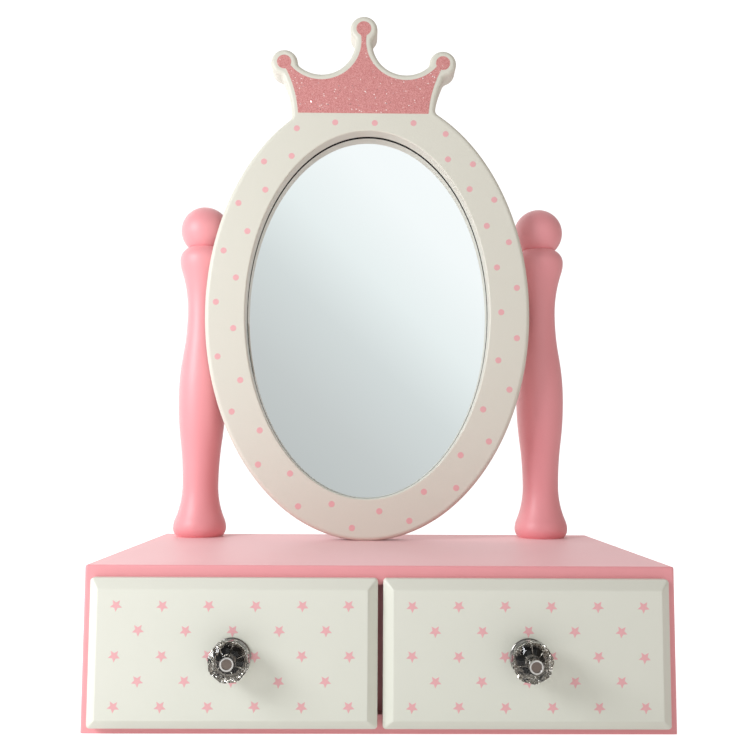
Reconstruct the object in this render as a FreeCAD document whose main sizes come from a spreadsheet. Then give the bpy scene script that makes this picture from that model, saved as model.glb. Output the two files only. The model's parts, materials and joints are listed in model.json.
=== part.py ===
# Table-top dressing mirror: a two-drawer box that carries a crowned oval mirror between two turned posts.
# +X runs to the right, +Y to the back and +Z up. The origin is the middle of the box's underside.
import FreeCAD, Part
import math
import os
import re
import Sketcher
from types import SimpleNamespace

doc = FreeCAD.newDocument("dressing_mirror")
sheet = doc.addObject("Spreadsheet::Sheet", "sizes")

# Driving dimensions, in millimetres.
drivingSizes = {
    # the box
    "cabinet_width": 285,
    "cabinet_depth": 182,
    "cabinet_height": 79,
    "panel": 9,
    "back_panel_thickness": 5,
    "corner_radius": 1.4,
    "edge_radius": 1.2,
    "dowel_radius": 2.5,
    "dowel_in_panel": 6,
    "dowel_in_edge": 10,
    "dowel_inset": 25,
    "divider_setback": 8,
    # the drawers
    "bay_side_clearance": 1,
    "bay_floor_clearance": 0.4,
    "bay_head_clearance": 5,
    "drawer_back_clearance": 14,
    "drawer_wall": 6,
    "drawer_bottom_thickness": 3,
    "drawer_bottom_lift": 6,
    "drawer_groove": 3,
    "front_standoff": 0.3,
    "front_thickness": 9,
    "front_chamfer": 4.6,
    "front_gap": 2.5,
    "front_side_reveal": 4.3,
    "front_bottom_reveal": 3.5,
    "front_top_reveal": 5.5,
    "front_screw_radius": 1.5,
    "front_screw_length": 12,
    "front_screw_inset": 22,
    "screw_head_radius": 3.2,
    "screw_head_height": 2,
    # the knobs
    "knob_drop": 0.8,
    "knob_base_radius": 9,
    "knob_base_thickness": 1.3,
    "knob_neck_radius": 4.6,
    "knob_neck_length": 1.9,
    "crystal_radius": 10,
    "crystal_end_radius": 6.2,
    "crystal_depth": 12,
    "crystal_slope": 4,
    "cap_radius": 3.2,
    "cap_dish_radius": 2.3,
    "cap_dish_depth": 0.7,
    "cap_sleeve_radius": 2.7,
    "cap_sleeve_length": 5,
    "left_cap_reach": 1.4,
    "right_cap_reach": 5.8,
    "bolt_radius": 2,
    "bolt_head_radius": 4,
    "bolt_head_height": 2.6,
    "washer_radius": 5,
    "washer_thickness": 0.8,
    # the turned posts
    "left_post_inset": 26,
    "right_post_inset": 34.2,
    "post_back_inset": 19,
    "foot_contact_radius": 14.6,
    "foot_radius": 17.2,
    "foot_rise": 5.5,
    "lower_waist_radius": 11.6,
    "lower_waist_rise": 33,
    "belly_radius": 15.4,
    "belly_rise": 91.5,
    "upper_waist_radius": 10.65,
    "upper_waist_rise": 148,
    "collar_radius": 16.4,
    "collar_rise": 183,
    "crease_rise": 191.5,
    "ball_radius": 16.1,
    "ball_rise": 203.5,
    "post_screw_radius": 2.4,
    "post_screw_length": 32,
    "post_screw_head_radius": 4.2,
    "post_screw_head_height": 2.4,
    "post_washer_radius": 5.5,
    # the mirror board
    "board_left_gap": 5.6,
    "board_right_gap": 11.4,
    "board_thickness": 16,
    "board_behind_collar": 0.9,
    "oval_half_height": 144.7,
    "seat_flat": 0.2,
    "frame_side_width": 25.8,
    "frame_end_width": 26.1,
    "board_round": 3,
    "opening_round": 1,
    "lip_depth": 11.2,
    "strip_thickness": 1.8,
    "rebate_width": 6,
    "glass_clearance": 0.4,
    "backing_thickness": 2.5,
    "backing_margin": 20,
    # the crown on the board
    "crown_shift": -3.5,
    "top_ball_radius": 9,
    "top_ball_rise": 332,
    "side_ball_radius": 8.8,
    "side_ball_rise": 309,
    "side_ball_reach": 51.9,
    "valley_radius": 22,
    "valley_reach": 27.7,
    "valley_rise": 323.5,
    "valley_fillet": 4,
    "crown_side_reach": 46.5,
    "crown_side_rise": 270.2,
    "crown_side_radius": 70,
    "crown_side_fillet": 4,
    "notch_fillet": 4,
    # the rail behind the board
    "rail_thickness": 12,
    "rail_height": 20,
    "rail_shoulder_gap": 0.9,
    "tenon_radius": 4,
    "tenon_length": 7,
    "spacer_radius": 5,
    "rail_screw_margin": 11.9,
    "rail_screw_radius": 1.75,
    "rail_screw_bite": 9,
    "foot_screw_bite": 15,
}

for row, (alias, amount) in enumerate(drivingSizes.items(), start=1):
    sheet.set("A%d" % row, alias.replace("_", " "))
    sheet.set("B%d" % row, str(amount))
    sheet.setAlias("B%d" % row, alias)
doc.recompute()


class Size:
    """A length that knows its value and the sheet expression that gives it."""

    def __init__(self, value, text):
        self.value = float(value)
        self.text = text

    def __add__(self, other):
        return joined(self, "+", other)

    def __radd__(self, other):
        return joined(other, "+", self)

    def __sub__(self, other):
        return joined(self, "-", other)

    def __rsub__(self, other):
        return joined(other, "-", self)

    def __mul__(self, other):
        return joined(self, "*", other)

    def __rmul__(self, other):
        return joined(other, "*", self)

    def __truediv__(self, other):
        return joined(self, "/", other)

    def __neg__(self):
        return joined(-1, "*", self)


def asSize(item):
    return item if isinstance(item, Size) else Size(item, "(%r)" % float(item))


def joined(left, sign, right):
    left = asSize(left)
    right = asSize(right)
    if sign == "+":
        value = left.value + right.value
    elif sign == "-":
        value = left.value - right.value
    elif sign == "*":
        value = left.value * right.value
    else:
        value = left.value / right.value
    return Size(value, "(%s %s %s)" % (left.text, sign, right.text))


def root(item):
    return Size(math.sqrt(item.value), "sqrt(%s)" % item.text)


size = SimpleNamespace(**{alias: Size(sheet.get(alias), "sizes." + alias) for alias in drivingSizes})


# Tools for making pieces.
def bind(item, **amounts):
    """Set each property of an object from a Size."""
    for name, amount in amounts.items():
        item.setExpression(name, asSize(amount).text)


def place(item, x=0, y=0, z=0):
    """Put an object at x, y and z, with its rotation left as it is."""
    rotation = item.Placement.Rotation
    corner = FreeCAD.Vector(asSize(x).value, asSize(y).value, asSize(z).value)
    item.Placement = FreeCAD.Placement(corner, rotation)
    for axis, amount in (("x", x), ("y", y), ("z", z)):
        item.setExpression("Placement.Base." + axis, asSize(amount).text)


def block(label, x, y, z):
    """A box that runs from the first to the second value along each axis."""
    item = doc.addObject("Part::Box", label)
    bind(item, Length=x[1] - x[0], Width=y[1] - y[0], Height=z[1] - z[0])
    place(item, x[0], y[0], z[0])
    return item


alongAxis = {
    "+x": FreeCAD.Rotation(FreeCAD.Vector(0, 1, 0), 90),
    "-x": FreeCAD.Rotation(FreeCAD.Vector(0, 1, 0), -90),
    "+y": FreeCAD.Rotation(FreeCAD.Vector(1, 0, 0), -90),
    "-y": FreeCAD.Rotation(FreeCAD.Vector(1, 0, 0), 90),
    "+z": FreeCAD.Rotation(),
}


def rod(label, radius, length, start, direction="+z"):
    """A round rod that starts at a point and runs along one axis."""
    item = doc.addObject("Part::Cylinder", label)
    item.Placement = FreeCAD.Placement(FreeCAD.Vector(), alongAxis[direction])
    bind(item, Radius=radius, Height=length)
    place(item, *start)
    return item


def group(label, items):
    """Several separate solids kept as one piece."""
    item = doc.addObject("Part::Compound", label)
    item.Links = items
    return item


def fused(label, items):
    item = doc.addObject("Part::MultiFuse", label)
    item.Shapes = items
    return item


def cut(label, base, *tools):
    """A base with the room for one or more other pieces taken out of it."""
    for count, tool in enumerate(tools, start=1):
        item = doc.addObject("Part::Cut", label if count == len(tools) else "%s_cut_%d" % (label, count))
        item.Base = base
        item.Tool = tool
        base = item
    return base


def rounded(label, base, radius, wanted):
    """The base with every edge that the test accepts rounded."""
    doc.recompute()
    picked = [number for number, edge in enumerate(base.Shape.Edges, start=1) if wanted(edge)]
    item = doc.addObject("Part::Fillet", label)
    item.Base = base
    item.Edges = [(number, radius.value, radius.value) for number in picked]
    return item


def originPlane(body, role):
    return next(feature for feature in body.Origin.OriginFeatures if feature.Role == role)


def sketchOn(body, name, role="XZ_Plane"):
    sketch = body.newObject("Sketcher::SketchObject", name)
    sketch.AttachmentSupport = [(originPlane(body, role), "")]
    sketch.MapMode = "FlatFace"
    return sketch


def flat(point):
    return FreeCAD.Vector(asSize(point[0]).value, asSize(point[1]).value, 0)


def holdPoint(sketch, edge, end, point):
    """Fix one end of a sketch edge at two sheet sizes."""
    for kind, axis, amount in (("DistanceX", -2, point[0]), ("DistanceY", -1, point[1])):
        amount = asSize(amount)
        if amount.value == 0:
            sketch.addConstraint(Sketcher.Constraint("PointOnObject", edge, end, axis))
        else:
            number = sketch.addConstraint(Sketcher.Constraint(kind, -1, 1, edge, end, amount.value))
            sketch.setExpression("Constraints[%d]" % number, amount.text)


def outline(sketch, corners):
    """Draw a closed outline. Each corner is x, y and the radius of the arc that leaves it.

    No radius gives a straight line. A positive radius bulges to the right of the way of travel.
    """
    count = len(corners)
    for here, there in zip(corners, corners[1:] + corners[:1]):
        start = flat(here)
        finish = flat(there)
        if len(here) == 2:
            sketch.addGeometry(Part.LineSegment(start, finish), False)
            continue
        radius = here[2]
        chord = finish - start
        across = FreeCAD.Vector(chord.y, -chord.x, 0).normalize()
        reach = abs(radius.value)
        rise = reach - math.sqrt(max(reach ** 2 - (chord.Length / 2) ** 2, 0))
        middle = (start + finish) * 0.5 + across * math.copysign(rise, radius.value)
        sketch.addGeometry(Part.Arc(start, middle, finish), False)
    for number, here in enumerate(corners):
        following = (number + 1) % count
        leaving = edgeEnds(here)[1]
        arriving = edgeEnds(corners[following])[0]
        sketch.addConstraint(Sketcher.Constraint("Coincident", number, leaving, following, arriving))
        holdPoint(sketch, following, arriving, corners[following])
        if len(here) == 3:
            length = here[2] if here[2].value > 0 else -here[2]
            index = sketch.addConstraint(Sketcher.Constraint("Radius", number, length.value))
            sketch.setExpression("Constraints[%d]" % index, length.text)


def edgeEnds(corner):
    """The sketch's own numbers for the first and last end of the edge that leaves a corner.

    A sketch keeps every arc anticlockwise, so an arc that curves the other way is held end first.
    """
    return (2, 1) if len(corner) == 3 and corner[2].value < 0 else (1, 2)


def turned(label, corners):
    """A body turned about its upright axis from a half outline of radius and height."""
    body = doc.addObject("PartDesign::Body", label)
    sketch = sketchOn(body, label + "_outline")
    outline(sketch, corners)
    feature = body.newObject("PartDesign::Revolution", label + "_turning")
    feature.Profile = sketch
    feature.ReferenceAxis = (sketch, ["V_Axis"])
    feature.Angle = 360
    return body


def swell(narrow, wide, concaveShare=0.5):
    """The two arc radii and the meeting point of a smooth curve between a waist and a swell.

    Both ends run straight up. The concave arc takes its share of the rise, the convex arc the rest.
    """
    out = wide[0] - narrow[0]
    up = wide[1] - narrow[1]
    both = (up * up + out * out) / (2 * out)
    meeting = (narrow[0] + out * concaveShare, narrow[1] + up * concaveShare)
    return both * concaveShare, both * (1 - concaveShare), meeting


def endArc(out, up):
    """The radius of an arc that leaves a swell straight up or down and comes in by a length."""
    return (out * out + up * up) / (2 * out)


# Places that several pieces share.
halfWidth = size.cabinet_width / 2
halfDepth = size.cabinet_depth / 2
frontFace = -halfDepth
floorTop = size.panel
ceiling = size.cabinet_height - size.panel
backPanelFront = halfDepth - size.back_panel_thickness
bayNear = size.panel / 2
bayFar = halfWidth - size.panel
postAxisY = halfDepth - size.post_back_inset
boardBack = postAxisY - size.collar_radius + size.board_behind_collar
boardFront = boardBack - size.board_thickness
postX = {"left": size.left_post_inset - halfWidth, "right": halfWidth - size.right_post_inset}
boardLeft = postX["left"] + size.board_left_gap
boardRight = postX["right"] - size.board_right_gap
boardX = (boardLeft + boardRight) / 2
crownX = boardX + size.crown_shift
ovalHalfWidth = (boardRight - boardLeft) / 2
openingHalfWidth = ovalHalfWidth - size.frame_side_width
openingHalfHeight = size.oval_half_height - size.frame_end_width
ovalCentreRise = size.oval_half_height - size.seat_flat
ovalCentreZ = size.cabinet_height + ovalCentreRise
glassFront = boardFront + size.lip_depth + size.strip_thickness
backingBack = boardBack + size.backing_thickness
railZ = size.cabinet_height + size.upper_waist_rise
sides = {"left": -1, "right": 1}


# Box: six panels, glued on dowels.
def dowels():
    """Upright dowels that pin both side panels and the divider to the top and bottom panels."""
    rods = []
    sideMiddle = halfWidth - size.panel / 2
    columns = {"left": -sideMiddle, "middle": asSize(0), "right": sideMiddle}
    outerRow = halfDepth - size.dowel_inset
    rows = {"front": -outerRow, "centre": asSize(0), "back": outerRow}
    length = size.dowel_in_panel + size.dowel_in_edge
    lowStart = floorTop - size.dowel_in_panel
    highStart = ceiling - size.dowel_in_edge
    for columnName, x in columns.items():
        for rowName, y in rows.items():
            name = "dowel_%s_%s_" % (columnName, rowName)
            rods.append(rod(name + "low", size.dowel_radius, length, (x, y, lowStart)))
            rods.append(rod(name + "high", size.dowel_radius, length, (x, y, highStart)))
    return group("carcass_dowels", rods)


def isUpright(edge):
    return edge.BoundBox.XLength < 0.01 and edge.BoundBox.YLength < 0.01


def fullPanel(label, low, high):
    """A top or bottom panel with rounded corners."""
    blank = block(label + "_blank", (-halfWidth, halfWidth), (frontFace, halfDepth), (low, high))
    return rounded(label + "_corners", blank, size.corner_radius, isUpright)


def onFace(edge, axis, level):
    low = getattr(edge.BoundBox, axis + "Min")
    high = getattr(edge.BoundBox, axis + "Max")
    return abs(low - level) < 0.01 and abs(high - level) < 0.01


carcassDowels = dowels()
bottomPanel = cut("bottom_panel", fullPanel("bottom", asSize(0), floorTop), carcassDowels)
topBlank = fullPanel("top", ceiling, size.cabinet_height)
topRounded = rounded("top_soft_edge", topBlank, size.edge_radius,
                     lambda edge: onFace(edge, "Z", size.cabinet_height.value))
for side, sign in sides.items():
    outer = sign * halfWidth
    inner = sign * bayFar
    across = (outer, inner) if sign < 0 else (inner, outer)
    blank = block(side + "_side_blank", across, (frontFace, halfDepth), (floorTop, ceiling))
    soft = rounded(side + "_side_corners", blank, size.corner_radius,
                   lambda edge: isUpright(edge) and abs(edge.BoundBox.XMin - outer.value) < 0.01)
    cut(side + "_side_panel", soft, carcassDowels)
dividerDepth = (frontFace + size.divider_setback, backPanelFront)
dividerBlank = block("divider_blank", (-bayNear, bayNear), dividerDepth, (floorTop, ceiling))
cut("centre_divider", dividerBlank, carcassDowels)
block("back_panel", (-bayFar, bayFar), (backPanelFront, halfDepth), (floorTop, ceiling))


# Turned posts, each screwed up from under the top panel.
def screwUp(label, point, radius, length, headRadius, headHeight, direction="+z"):
    """A screw whose head starts at a point, with its shank running on along one axis."""
    head = rod(label + "_head", headRadius, headHeight, point, direction)
    shank = rod(label + "_shank", radius, headHeight + length, point, direction)
    return fused(label, [head, shank])


def postOutline():
    foot = (size.foot_radius, size.foot_rise)
    lowerWaist = (size.lower_waist_radius, size.lower_waist_rise)
    belly = (size.belly_radius, size.belly_rise)
    upperWaist = (size.upper_waist_radius, size.upper_waist_rise)
    collar = (size.collar_radius, size.collar_rise)
    creaseDrop = size.ball_rise - size.crease_rise
    crease = (root(size.ball_radius * size.ball_radius - creaseDrop * creaseDrop), size.crease_rise)
    toeArc = endArc(size.foot_radius - size.foot_contact_radius, size.foot_rise)
    footHollow, footSwell, footMeeting = swell(lowerWaist, foot, 0.8)
    lowHollow, bellySwell, lowMeeting = swell(lowerWaist, belly)
    highHollow, upperBelly, highMeeting = swell(upperWaist, belly)
    neckHollow, collarSwell, neckMeeting = swell(upperWaist, collar, 0.8)
    shoulderArc = endArc(size.collar_radius - crease[0], size.crease_rise - size.collar_rise)
    return [
        (0, 0),
        (size.foot_contact_radius, 0, toeArc),
        (*foot, footSwell),
        (*footMeeting, -footHollow),
        (*lowerWaist, -lowHollow),
        (*lowMeeting, bellySwell),
        (*belly, upperBelly),
        (*highMeeting, -highHollow),
        (*upperWaist, -neckHollow),
        (*neckMeeting, collarSwell),
        (*collar, shoulderArc),
        (*crease, size.ball_radius),
        (0, size.ball_rise + size.ball_radius),
    ]


postScrews = []
postWashers = []
for side in sides:
    screw = screwUp(side + "_post_screw", (postX[side], postAxisY, ceiling), size.post_screw_radius,
                    size.post_screw_length, size.post_screw_head_radius, size.post_screw_head_height)
    postScrews.append(screw)
    disc = rod(side + "_washer_disc", size.post_washer_radius, size.washer_thickness,
               (postX[side], postAxisY, ceiling + size.post_screw_head_height))
    postWashers.append(cut(side + "_post_washer", disc, screw))
postScrewGroup = group("post_screws", postScrews)
postWasherGroup = group("post_washers", postWashers)


# Rail that ties the posts together and carries the board.
def rail():
    shoulder = size.upper_waist_radius + size.rail_shoulder_gap
    ends = {side: postX[side] - sides[side] * shoulder for side in sides}
    depth = (postAxisY - size.rail_thickness / 2, postAxisY + size.rail_thickness / 2)
    height = (railZ - size.rail_height / 2, railZ + size.rail_height / 2)
    bar = block("rail_bar", (ends["left"], ends["right"]), depth, height)
    reach = size.tenon_length + size.rail_shoulder_gap
    tenons = [rod(side + "_tenon", size.tenon_radius, reach, (ends[side], postAxisY, railZ),
                  "-x" if side == "left" else "+x") for side in sides]
    return fused("rail_with_tenons", [bar] + tenons)


railShape = rail()
for side in sides:
    blank = turned(side + "_post_turning", postOutline())
    place(blank, postX[side], postAxisY, size.cabinet_height)
    cut(side + "_post", blank, postScrewGroup, railShape)


# Board: an oval with a crown, cut from one thickness.
def ovalPlate(label, halfWide, halfTall, near, far):
    """An upright oval plate about the middle of the mirror."""
    oval = doc.addObject("Part::Ellipse", label + "_outline")
    bind(oval, MajorRadius=halfTall, MinorRadius=halfWide)
    oval.Placement = FreeCAD.Placement(FreeCAD.Vector(), FreeCAD.Rotation(FreeCAD.Vector(1, 1, 1), 240))
    place(oval, boardX, near, ovalCentreZ)
    plate = doc.addObject("Part::Extrusion", label)
    plate.Base = oval
    plate.DirMode = "Custom"
    plate.Dir = (0, 1, 0)
    plate.Solid = True
    bind(plate, LengthFwd=far - near)
    return plate


def between(start, finish, share):
    return tuple(a + (b - a) * share for a, b in zip(start, finish))


def hollowFillet(ball, ballRadius, hollow, hollowRadius, fillet, lean):
    """The centre of the small arc that joins a ball to the hollow arc beside it."""
    acrossX = ball[0] - hollow[0]
    acrossZ = ball[1] - hollow[1]
    apart = root(acrossX * acrossX + acrossZ * acrossZ)
    fromHollow = hollowRadius - fillet
    fromBall = ballRadius + fillet
    along = (fromHollow * fromHollow - fromBall * fromBall + apart * apart) / (2 * apart)
    aside = root(fromHollow * fromHollow - along * along) * lean
    centreX = hollow[0] + (acrossX * along - acrossZ * aside) / apart
    centreZ = hollow[1] + (acrossZ * along + acrossX * aside) / apart
    return centreX, centreZ


def crownOutline():
    """Right half of the crown from the oval's middle to its tip, then the same points mirrored."""
    valley = (size.valley_reach, size.valley_rise)
    flank = (size.crown_side_reach + size.crown_side_radius, size.crown_side_rise)
    sideBall = (size.side_ball_reach, size.side_ball_rise)
    topBall = (asSize(0), size.top_ball_rise)
    under = hollowFillet(sideBall, size.side_ball_radius, flank, size.crown_side_radius,
                         size.crown_side_fillet, 1)
    sideFillet = hollowFillet(sideBall, size.side_ball_radius, valley, size.valley_radius,
                              size.valley_fillet, -1)
    topFillet = hollowFillet(topBall, size.top_ball_radius, valley, size.valley_radius,
                             size.valley_fillet, 1)
    flankShare = size.crown_side_radius / (size.crown_side_radius - size.crown_side_fillet)
    underShare = size.side_ball_radius / (size.side_ball_radius + size.crown_side_fillet)
    valleyShare = size.valley_radius / (size.valley_radius - size.valley_fillet)
    sideShare = size.side_ball_radius / (size.side_ball_radius + size.valley_fillet)
    topShare = size.top_ball_radius / (size.top_ball_radius + size.valley_fillet)
    right = [
        (size.crown_side_reach, ovalCentreRise),
        (size.crown_side_reach, size.crown_side_rise, -size.crown_side_radius),
        (*between(flank, under, flankShare), -size.crown_side_fillet),
        (*between(sideBall, under, underShare), size.side_ball_radius),
        (sideBall[0] + size.side_ball_radius, sideBall[1], size.side_ball_radius),
        (sideBall[0], sideBall[1] + size.side_ball_radius, size.side_ball_radius),
        (*between(sideBall, sideFillet, sideShare), -size.valley_fillet),
        (*between(valley, sideFillet, valleyShare), -size.valley_radius),
        (*between(valley, topFillet, valleyShare), -size.valley_fillet),
        (*between(topBall, topFillet, topShare), size.top_ball_radius),
        (size.top_ball_radius, size.top_ball_rise, size.top_ball_radius),
    ]
    tip = (0, size.top_ball_rise + size.top_ball_radius, size.top_ball_radius)
    left = []
    radii = [corner[2:] for corner in right]
    for number in range(len(right) - 1, -1, -1):
        corner = right[number]
        radius = radii[number - 1] if number else ()
        left.append((-corner[0], corner[1], *radius))
    return right + [tip] + left


def crown():
    body = doc.addObject("PartDesign::Body", "crown_blank")
    sketch = sketchOn(body, "crown_outline")
    outline(sketch, crownOutline())
    pad = body.newObject("PartDesign::Pad", "crown_pad")
    pad.Profile = sketch
    pad.Reversed = True
    bind(pad, Length=size.board_thickness)
    place(body, crownX, boardFront, size.cabinet_height)
    return body


def isNotch(edge):
    box = edge.BoundBox
    lineAlongDepth = box.XLength < 0.01 and box.ZLength < 0.01
    acrossShare = (box.XMin - boardX.value) / ovalHalfWidth.value
    upShare = (box.ZMin - ovalCentreZ.value) / size.oval_half_height.value
    onCrownSide = abs(abs(box.XMin - crownX.value) - size.crown_side_reach.value) < size.edge_radius.value
    return lineAlongDepth and onCrownSide and abs(acrossShare ** 2 + upShare ** 2 - 1) < 0.01


def isOpeningFront(edge):
    box = edge.BoundBox
    wideEnough = box.XMin > boardX.value - openingHalfWidth.value - 0.1
    tallEnough = abs(box.Center.z - ovalCentreZ.value) < openingHalfHeight.value + 0.1
    return onFace(edge, "Y", boardFront.value) and wideEnough and tallEnough


ovalBlank = ovalPlate("oval_blank", ovalHalfWidth, size.oval_half_height, boardFront, boardBack)
boardBlank = fused("board_blank", [ovalBlank, crown()])
boardNotched = rounded("board_notched", boardBlank, size.notch_fillet, isNotch)
boardSoft = rounded("board_soft", boardNotched, size.board_round,
                    lambda edge: onFace(edge, "Y", boardFront.value))
opening = ovalPlate("opening_cutter", openingHalfWidth, openingHalfHeight,
                    boardFront - size.panel, boardBack + size.panel)
rebateWide = openingHalfWidth + size.rebate_width
rebateTall = openingHalfHeight + size.rebate_width
rebate = ovalPlate("rebate_cutter", rebateWide, rebateTall,
                   boardFront + size.lip_depth, boardBack + size.panel)
boardOpen = cut("board_open", boardSoft, opening, rebate)
boardEased = rounded("board_eased", boardOpen, size.opening_round, isOpeningFront)
seatCutter = block("seat_cutter", (boardX - ovalHalfWidth, boardX + ovalHalfWidth),
                   (boardFront, boardBack), (size.cabinet_height - size.panel, size.cabinet_height))

# Mirror, its black bedding strip and the backing, held in the board's rebate.
glassWide = rebateWide - size.glass_clearance
glassTall = rebateTall - size.glass_clearance
ovalPlate("mirror_glass", glassWide, glassTall, glassFront, boardBack)
stripBlank = ovalPlate("strip_blank", glassWide, glassTall, boardFront + size.lip_depth, glassFront)
cut("bedding_strip", stripBlank, opening)
backingBlank = ovalPlate("backing_blank", openingHalfWidth + size.backing_margin,
                         openingHalfHeight + size.backing_margin, boardBack, backingBack)

# Screws: two through the rail into the board, and one up into the board's foot.
railBack = postAxisY + size.rail_thickness / 2
railFront = postAxisY - size.rail_thickness / 2
railScrewLength = railBack - boardBack + size.rail_screw_bite
railScrews = []
spacerDiscs = []
for side, sign in sides.items():
    x = boardX + sign * (openingHalfWidth + size.rail_screw_margin)
    railScrews.append(screwUp(side + "_rail_screw", (x, railBack + size.screw_head_height, railZ),
                              size.rail_screw_radius, railScrewLength, size.screw_head_radius,
                              size.screw_head_height, "-y"))
    spacerDiscs.append(rod(side + "_spacer_disc", size.spacer_radius, railFront - backingBack,
                           (x, backingBack, railZ), "+y"))
railScrewGroup = group("rail_screws", railScrews)
footScrew = screwUp("foot_screw", (boardX, (boardFront + boardBack) / 2, ceiling), size.rail_screw_radius,
                    size.panel - size.screw_head_height + size.foot_screw_bite, size.screw_head_radius,
                    size.screw_head_height)
cut("rail_spacers", group("spacer_discs", spacerDiscs), railScrewGroup)
cut("mirror_backing", backingBlank, railScrewGroup)
cut("mirror_rail", railShape, railScrewGroup)
cut("mirror_frame", boardEased, seatCutter, railScrewGroup, footScrew)
cut("top_panel", topRounded, carcassDowels, postScrewGroup, postWasherGroup, footScrew)


# Drawers.
frontBack = frontFace - size.front_standoff
frontOuter = frontBack - size.front_thickness
boxLow = floorTop + size.bay_floor_clearance
boxHigh = ceiling - size.bay_head_clearance
boxBack = backPanelFront - size.drawer_back_clearance
boxNear = bayNear + size.bay_side_clearance
boxFar = bayFar - size.bay_side_clearance
frontNear = size.front_gap / 2
frontFar = halfWidth - size.front_side_reveal
frontLow = size.front_bottom_reveal
frontHigh = size.cabinet_height - size.front_top_reveal
knobX = (frontNear + frontFar) / 2
knobZ = (frontLow + frontHigh) / 2 - size.knob_drop
innerFrontBack = frontBack + size.drawer_wall


def spanX(side, near, far):
    """A left-to-right span on one side of the middle, from two distances."""
    return (-far, -near) if side == "left" else (near, far)


def falseFront(side):
    """The visible drawer front, a panel with a wide bevel round its face."""
    body = doc.addObject("PartDesign::Body", side + "_front_blank")
    sketch = sketchOn(body, side + "_front_outline")
    low, high = spanX(side, frontNear, frontFar)
    outline(sketch, [(low, frontLow), (high, frontLow), (high, frontHigh), (low, frontHigh)])
    pad = body.newObject("PartDesign::Pad", side + "_front_pad")
    pad.Profile = sketch
    bind(pad, Length=size.front_thickness)
    doc.recompute()
    rim = ["Edge%d" % number for number, edge in enumerate(pad.Shape.Edges, start=1)
           if onFace(edge, "Y", -size.front_thickness.value)]
    bevel = body.newObject("PartDesign::Chamfer", side + "_front_bevel")
    bevel.Base = (pad, rim)
    bind(bevel, Size=size.front_chamfer)
    place(body, 0, frontBack, 0)
    return body


def turnedAlongFront(label, corners, x, y):
    """A turned piece that points out of the drawer front."""
    body = turned(label, corners)
    body.Placement = FreeCAD.Placement(FreeCAD.Vector(), alongAxis["-y"])
    place(body, x, y, knobZ)
    return body


def crystal(side, x, fixings):
    """A clear eight-sided knob with sloping facets at both ends."""
    sections = []
    start = frontOuter - size.knob_base_thickness - size.knob_neck_length
    rings = (
        (asSize(0), size.crystal_end_radius),
        (size.crystal_slope, size.crystal_radius),
        (size.crystal_depth - size.crystal_slope, size.crystal_radius),
        (size.crystal_depth, size.crystal_end_radius),
    )
    for number, (reach, radius) in enumerate(rings):
        ring = doc.addObject("Part::RegularPolygon", "%s_crystal_ring_%d" % (side, number))
        ring.Polygon = 8
        bind(ring, Circumradius=radius)
        quarterTurn = FreeCAD.Rotation(FreeCAD.Vector(0, 0, 1), 22.5)
        ring.Placement = FreeCAD.Placement(FreeCAD.Vector(), alongAxis["-y"].multiply(quarterTurn))
        place(ring, x, start - reach, knobZ)
        sections.append(ring)
    loft = doc.addObject("Part::Loft", side + "_crystal_blank")
    loft.Sections = sections
    loft.Solid = True
    loft.Ruled = True
    return cut(side + "_knob_crystal", loft, *fixings)


def knob(side, x):
    """Base plate, crystal, metal cap and the bolt that holds them to the drawer. Returns the bolt."""
    neckEnd = size.knob_base_thickness + size.knob_neck_length
    reach = getattr(size, side + "_cap_reach")
    crystalEnd = frontOuter - neckEnd - size.crystal_depth
    capOutline = [
        (0, -size.cap_sleeve_length),
        (size.cap_sleeve_radius, -size.cap_sleeve_length),
        (size.cap_sleeve_radius, 0),
        (size.cap_radius, 0),
        (size.cap_radius, reach),
        (size.cap_dish_radius, reach),
        (size.cap_dish_radius, reach - size.cap_dish_depth),
        (0, reach - size.cap_dish_depth),
    ]
    capBlank = turnedAlongFront(side + "_cap_blank", capOutline, x, crystalEnd)
    headBack = innerFrontBack + size.washer_thickness + size.bolt_head_height
    shank = headBack - crystalEnd - size.cap_sleeve_length / 2
    bolt = screwUp(side + "_knob_bolt", (x, headBack, knobZ), size.bolt_radius,
                   shank - size.bolt_head_height, size.bolt_head_radius, size.bolt_head_height, "-y")
    disc = rod(side + "_knob_washer_disc", size.washer_radius, size.washer_thickness,
               (x, innerFrontBack, knobZ), "+y")
    cut(side + "_knob_washer", disc, bolt)
    cap = cut(side + "_knob_cap", capBlank, bolt)
    baseOutline = [
        (0, 0),
        (size.knob_base_radius, 0),
        (size.knob_base_radius, size.knob_base_thickness),
        (size.knob_neck_radius, size.knob_base_thickness),
        (size.knob_neck_radius, neckEnd),
        (0, neckEnd),
    ]
    baseBlank = turnedAlongFront(side + "_knob_base_blank", baseOutline, x, frontOuter)
    cut(side + "_knob_base", baseBlank, bolt)
    crystal(side, x, [cap, bolt])
    return bolt


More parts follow.
